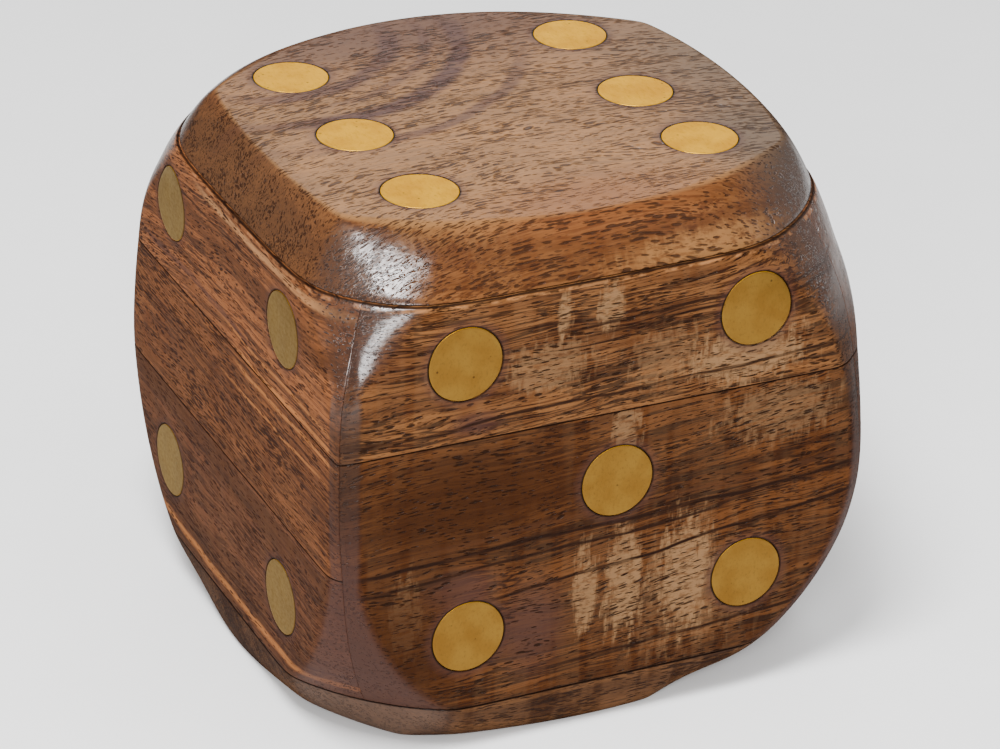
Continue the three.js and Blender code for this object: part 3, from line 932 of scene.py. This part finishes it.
# What a board has unless its own look says otherwise. The lists give places on the box:
# pale: centre, radii and strength; stains: the same and a tone;
# stripes: start and end along the wall, height, slope, width, strength and tone;
# curls: centre, radius and width of the curve, and centre, radii and strength of where it shows.
# A look's stain tone colours its stains, and is also painted as shade round the discs and as a sheen low
# on the corners.
PLAIN_LOOK = dict(
    wander=7.0, bow=0.0, tilt=0.0, run_axis=0, lines=0.6, threads=0.75, pores=0.38, pore_strength=0.9,
    ragged=1.9, figure=0.1, gloss=0.42, handled=True, painted_sheen_tone=None, top_coat=0.0,
    joints=(), pale_edge_lines=(), pale=(), stains=(), stripes=(), curls=(),
)
LID_LOOK = dict(
    PLAIN_LOOK, grain=ALONG_X, shift=(0, 3, 0), side="top", pith=(-30, -75), bow=0.003, wander=9.0,
    light=tone(99, 62, 34), middle=tone(75, 44, 23), dark=tone(61, 31, 12), line=tone(56, 31, 18),
    pore=tone(40, 24, 16), pale_tone=tone(123, 86, 51), stain_and_painted_light_tone=tone(60, 38, 34),
    # The lid's flat top is painted paler: a painted sheen.
    end_tone=tone(215, 200, 190), painted_sheen_tone=tone(88, 66, 42), top_coat=0.18, ragged=0.8,
    # The dark line at the lid's seam is painted shade.
    joints=((SEAM, 0.25, 0.9),), pores=0.4, lines=0.5, threads=0.9, pore_strength=0.8,
    pale=(((24, -45, 78.4), (30, 9, 3.4), 0.7), ((-20, -30, 87), (16, 12, 9), 0.5)),
    stains=(
        ((0, 42, 87), (70, 36, 30), 0.75, PURPLE), ((46, 4, 87), (32, 46, 30), 0.7, GREY_SHADE),
        ((34, -25, 87), (17, 20, 20), 0.8, GREY_SHADE), ((0, -35, 87), (30, 14, 10), 0.5, WARM_BROWN),
        ((-42, 0, 80), (9, 60, 12), 0.65, GREY_BROWN),
    ),
    curls=(
        ((-25, 38), 22, 2.4, (-12, 18, 83), (30, 26, 60), 0.8),
        ((-25, 38), 27.5, 1.4, (-10, 24, 83), (24, 24, 60), 0.5),
        ((-25, 38), 33, 2.6, (-12, 18, 83), (36, 32, 60), 0.95),
        ((-25, 38), 43, 1.8, (-14, 12, 83), (36, 30, 60), 0.7),
    ),
)
FRONT_LOWER_LOOK = dict(
    PLAIN_LOOK, grain=FRONT_TURN, shift=(0, -31, 0), side="front", pith=(46, 60), tilt=-0.05,
    light=tone(83, 48, 22), middle=tone(57, 29, 10), dark=tone(40, 17, 3), line=BLACK_LINE,
    pore=tone(26, 11, 3), pale_tone=tone(118, 89, 61), stain_and_painted_light_tone=PURPLE, end_tone=tone(200, 180, 175),
    pale_edge_tone=tone(180, 125, 80), joints=LOWER_JOINTS, lines=0.9, threads=0.9, pores=0.3,
    pale=(
        ((-4, -45, 24), (2.6, 60, 9), 0.75), ((2.5, -45, 24), (4, 60, 11), 0.8),
        ((13, -45, 24), (5.5, 60, 12), 0.85), ((-34, -45, 26), (3, 60, 9), 0.5),
        ((2, -45, 51), (3, 60, 5), 0.6), ((28, -45, 49), (12, 60, 6), 0.4),
        ((14, -45, 20), (14, 60, 12), 0.25),
    ),
    stains=(
        ((-13, -45, 20), (8, 60, 12), 0.62, PURPLE), ((-25, -45, 29), (9, 60, 5), 0.7, PURPLE),
        ((-24, -45, 44), (32, 60, 14), 0.85, SHADE), ((-36, -45, 20), (18, 60, 20), 0.8, SHADE),
    ),
    stripes=(
        (-44, 44, 35.6, 0.035, 0.52, 1.0, BLACK_LINE), (-44, 20, 33.2, 0.05, 0.39, 0.9, BLACK_LINE),
        (-20, 44, 28.1, 0.1, 0.45, 1.0, BLACK_LINE), (-38, -26, 24.0, 0.1, 0.22, 0.7, BLACK_LINE),
        (-8, 40, 12.6, 0.06, 0.45, 0.9, BLACK_LINE), (5, 44, 41.5, 0.02, 0.22, 0.5, BLACK_LINE),
        (-30, 44, 37.8, 0.04, 0.8, 0.5, BROWN_BAND),
    ),
)
FRONT_UPPER_LOOK = dict(
    FRONT_LOWER_LOOK, shift=(40, -65, 14), pith=(-40, 55), tilt=-0.03, joints=UPPER_JOINTS,
    light=tone(106, 68, 37), middle=tone(72, 41, 19), dark=tone(44, 17, 5), pale_edge_lines=UNDER_SEAM,
    pale=(
        ((-9, -45, 72), (1.6, 60, 4), 0.8), ((-1.5, -45, 72), (2.6, 60, 5), 0.8),
        ((22, -45, 60), (11, 60, 6), 0.9), ((-11, -45, 64), (8, 60, 5), 0.5),
        ((8, -45, 62), (7, 60, 6), 0.35), ((-26, -45, 66), (6, 60, 5), 0.3),
    ),
    stains=(
        ((-40, -40, 72), (9, 9, 9), 0.5, PURPLE), ((-23, -45, 57), (6, 60, 3), 0.6, PURPLE),
        ((38, -38, 72), (8, 9, 9), 0.5, PURPLE),
    ),
    stripes=(
        (-44, 44, 57.6, 0.03, 0.39, 0.9, BLACK_LINE), (-10, 44, 69.6, 0.01, 0.39, 0.9, BLACK_LINE),
        (-6, 40, 68.2, 0.015, 0.33, 0.85, BLACK_LINE), (-34, -6, 71.5, 0.03, 0.26, 0.7, BLACK_LINE),
        (0, 44, 64.0, 0.02, 0.22, 0.5, BLACK_LINE), (-10, 30, 66.8, 0.03, 0.22, 0.6, BLACK_LINE),
    ),
)
SIDE_LOWER_LOOK = dict(
    PLAIN_LOOK, grain=SIDE_TURN, shift=(0, -21, 0), side="left", pith=(-50, 48), run_axis=1,
    light=tone(86, 51, 31), middle=tone(65, 37, 20), dark=tone(49, 26, 12), line=tone(46, 26, 16),
    pore=tone(37, 18, 9), pale_tone=tone(132, 94, 61), stain_and_painted_light_tone=PURPLE, end_tone=tone(205, 185, 178),
    pale_edge_tone=tone(170, 115, 75), joints=((SIDE_JOINT, 0.2, 0.85), (BASE_TOP, 0.3, 0.95)),
    lines=0.75, figure=0.05, pores=0.32,
    stripes=(
        (-44, 44, 10.6, 0.0, 0.9, 0.7, ORANGE), (-44, 44, 12.9, 0.0, 0.33, 0.7, BLACK_LINE),
        (-44, 44, 31.6, 0.02, 1.8, 0.6, BROWN_BAND),
    ),
)
SIDE_MIDDLE_LOOK = dict(
    SIDE_LOWER_LOOK, shift=(25, -44, 8), pith=(40, 50),
    joints=((SIDE_JOINT, 0.25, 0.85), (FRONT_JOINT, 0.2, 0.95)),
    light=tone(105, 63, 34), middle=tone(79, 45, 24), dark=tone(62, 32, 14), pores=0.38,
    stripes=(
        (-44, 44, 46.0, 0.0, 0.33, 0.6, BLACK_LINE), (-44, -5, 52.6, 0.0, 0.5, 0.7, ORANGE),
        (-44, -5, 50.8, 0.02, 0.23, 0.7, BLACK_LINE), (-44, 44, 35.2, 0.0, 1.0, 0.6, BROWN_BAND),
        (-40, 0, 48.6, 0.0, 0.4, 0.6, ORANGE),
    ),
)
SIDE_UPPER_LOOK = dict(
    SIDE_LOWER_LOOK, shift=(-30, -66, 3), pith=(-35, 52), joints=UPPER_JOINTS, bow=0.002,
    light=tone(124, 75, 43), middle=tone(94, 56, 31), dark=tone(63, 34, 18), pale_edge_lines=UNDER_SEAM,
    stripes=(
        (-44, 44, 68.6, 0.0, 2.6, 0.75, BROWN_BAND), (-12, 30, 71.8, -0.05, 0.33, 0.85, BLACK_LINE),
        (-40, 10, 74.9, 0.0, 0.9, 0.7, TAN), (-10, 34, 58.0, 0.0, 0.8, 0.7, PURPLE),
        (-44, -5, 54.9, 0.0, 0.6, 0.8, ORANGE), (-44, -5, 56.4, 0.0, 0.22, 0.7, BLACK_LINE),
        (-44, 0, 57.4, 0.0, 0.4, 0.6, ORANGE),
    ),
)
BASE_LOOK = dict(
    PLAIN_LOOK, grain=ALONG_X, shift=(0, 11, 5), side="bottom", pith=(60, -40),
    light=tone(76, 48, 26), middle=tone(54, 31, 15), dark=tone(35, 17, 7), line=tone(31, 16, 9),
    pore=tone(36, 22, 15), pale_tone=tone(150, 110, 78), stain_and_painted_light_tone=tone(80, 62, 52),
    end_tone=tone(225, 218, 212), joints=((BASE_TOP, 0.3, 0.95),),
)
PLUG_LOOK = dict(LID_LOOK, shift=(20, 9, 30), handled=False, gloss=0.6, joints=(), curls=())
OTHER_STRETCH = (130, 0, 17)  # the back and right walls are cut this far away in the same planks


# ---- the box

def build_walls():
    """The four walls: two boards in the front and the back, and three in the left and the right."""
    for side in WALL_FACING:
        if side in ("front", "back"):
            looks = {"lower": FRONT_LOWER_LOOK, "upper": FRONT_UPPER_LOOK}
        else:
            looks = {"lower": SIDE_LOWER_LOOK, "middle": SIDE_MIDDLE_LOOK, "upper": SIDE_UPPER_LOOK}
        for level, look in looks.items():
            node = f"{side}_{level}_board"
            low_ease = BASE_EASE if level == "lower" else JOINT_EASE
            high_ease = SEAM_EASE if level == "upper" else JOINT_EASE
            board = wall_board(node, side, low_ease, high_ease)
            look = dict(look, side=side)
            if side in ("back", "right"):
                shift = tuple(a + b for a, b in zip(look["shift"], OTHER_STRETCH))
                look.update(shift=shift, stripes=(), pale=(), stains=())
            finish_piece(board, node, "box", wood(node + "_wood", look))


def build_lid_and_base():
    lid = bevelled_board("lid_board", "top", SEAM, HEIGHT, lid_rim, TOP_FLAT, LID_ROUND_SHARE, SEAM_EASE)
    finish_piece(lid, "lid_board", "lid", wood("lid_wood", LID_LOOK))
    base = bevelled_board(
        "base_board", "bottom", BASE_TOP, 0.0, base_rim, UNDER_FLAT, BASE_ROUND_SHARE, BASE_EASE)
    finish_piece(base, "base_board", "box", wood("base_wood", BASE_LOOK))
    plug = lid_plug("lid_plug")
    finish_piece(plug, "lid_plug", "lid", wood("plug_wood", PLUG_LOOK))


def build_pips():
    material = brass("brass")
    for side, nodes in PIP_NODES.items():
        body = "lid" if side == "top" else "box"
        for node in nodes:
            finish_piece(pip(node, side), node, body, material)


# ---- floor, light and camera

FLOOR_REACH = 1600
FLOOR_POINTS = 25
PAPER_GRAIN = (60.0, 60.0, 60.0)  # in cycles per metre
# The camera's place from the middle of the box, in half widths, and its own axes.
CAMERA_PLACE = (-5.62, -11.82, 6.71)
CAMERA_RIGHT = (0.9068, -0.4208, 0.0240)
CAMERA_UP = (0.1752, 0.4280, 0.8866)
CAMERA_BACK = (-0.3833, -0.7998, 0.4618)
CAMERA_LENS = 150.1
SENSOR_WIDTH = 36.0


def build_floor():
    """A plain sheet of pale paper under the box."""
    steps = np.linspace(-FLOOR_REACH, FLOOR_REACH, FLOOR_POINTS)
    points = [(x, y, 0.0) for y in steps for x in steps]
    floor = make_object("floor", points, grid_faces(FLOOR_POINTS, FLOOR_POINTS))
    s = Shader("floor_paper")
    grain = s.noise(s.node("TexCoord", {}).outputs["Object"], PAPER_GRAIN, 3.0)
    colour = s.mix(grain, (0.86, 0.86, 0.86, 1), (0.9, 0.9, 0.9, 1))
    floor.data.materials.append(s.surface(Base_Color=colour, Roughness=0.9))


def area_light(name, azimuth, elevation, distance, size, power):
    """A softbox that faces the box: angles in degrees, lengths in metres, power in watts.

    Azimuth 0 is in front of the box, and 90 is on its right.
    """
    light = bpy.data.lights.new(name, "AREA")
    light.shape = "RECTANGLE"
    light.size, light.size_y = size
    light.energy = power
    turn, lift = math.radians(azimuth), math.radians(elevation)
    way = Vector((math.cos(lift) * math.sin(turn), -math.cos(lift) * math.cos(turn), math.sin(lift)))
    holder = bpy.data.objects.new(name, light)
    holder.location = Vector((0, 0, HEIGHT * MM / 2)) + way * distance
    holder.rotation_euler = way.to_track_quat("Z", "Y").to_euler()
    bpy.context.collection.objects.link(holder)


def build_light():
    """An even white surround, two key lights, and softer lights above, on the right and behind."""
    world = bpy.data.worlds.new("studio")
    world.use_nodes = True
    background = world.node_tree.nodes["Background"]
    background.inputs["Color"].default_value = (1.0, 1.0, 1.0, 1.0)
    background.inputs["Strength"].default_value = 0.5
    bpy.context.scene.world = world
    area_light("overhead", azimuth=0.0, elevation=80.0, distance=1.0, size=(0.8, 0.8), power=3.0)
    area_light("key_high", azimuth=-50.0, elevation=67.0, distance=0.7, size=(0.22, 0.22), power=9.0)
    area_light("key_low", azimuth=-30.0, elevation=25.0, distance=0.9, size=(0.3, 0.3), power=7.5)
    area_light("right_fill", azimuth=50.0, elevation=35.0, distance=1.1, size=(0.6, 0.6), power=2.6)
    area_light("behind", azimuth=154.6, elevation=27.0, distance=1.2, size=(0.7, 0.45), power=2.6)


def build_camera():
    """A long lens in front of the box, to its left and above it."""
    camera = bpy.data.cameras.new("camera")
    camera.lens = CAMERA_LENS
    camera.sensor_width = SENSOR_WIDTH
    camera.clip_start = 0.01
    holder = bpy.data.objects.new("camera", camera)
    turn = Matrix((CAMERA_RIGHT, CAMERA_UP, CAMERA_BACK)).transposed().to_4x4()
    place = Vector(CAMERA_PLACE) * (HALF_WIDTH * MM) + Vector((0, 0, MID_HEIGHT * MM))
    holder.matrix_world = Matrix.Translation(place) @ turn
    bpy.context.collection.objects.link(holder)
    bpy.context.scene.camera = holder


build_walls()
build_lid_and_base()
build_pips()
build_floor()
build_light()
build_camera()
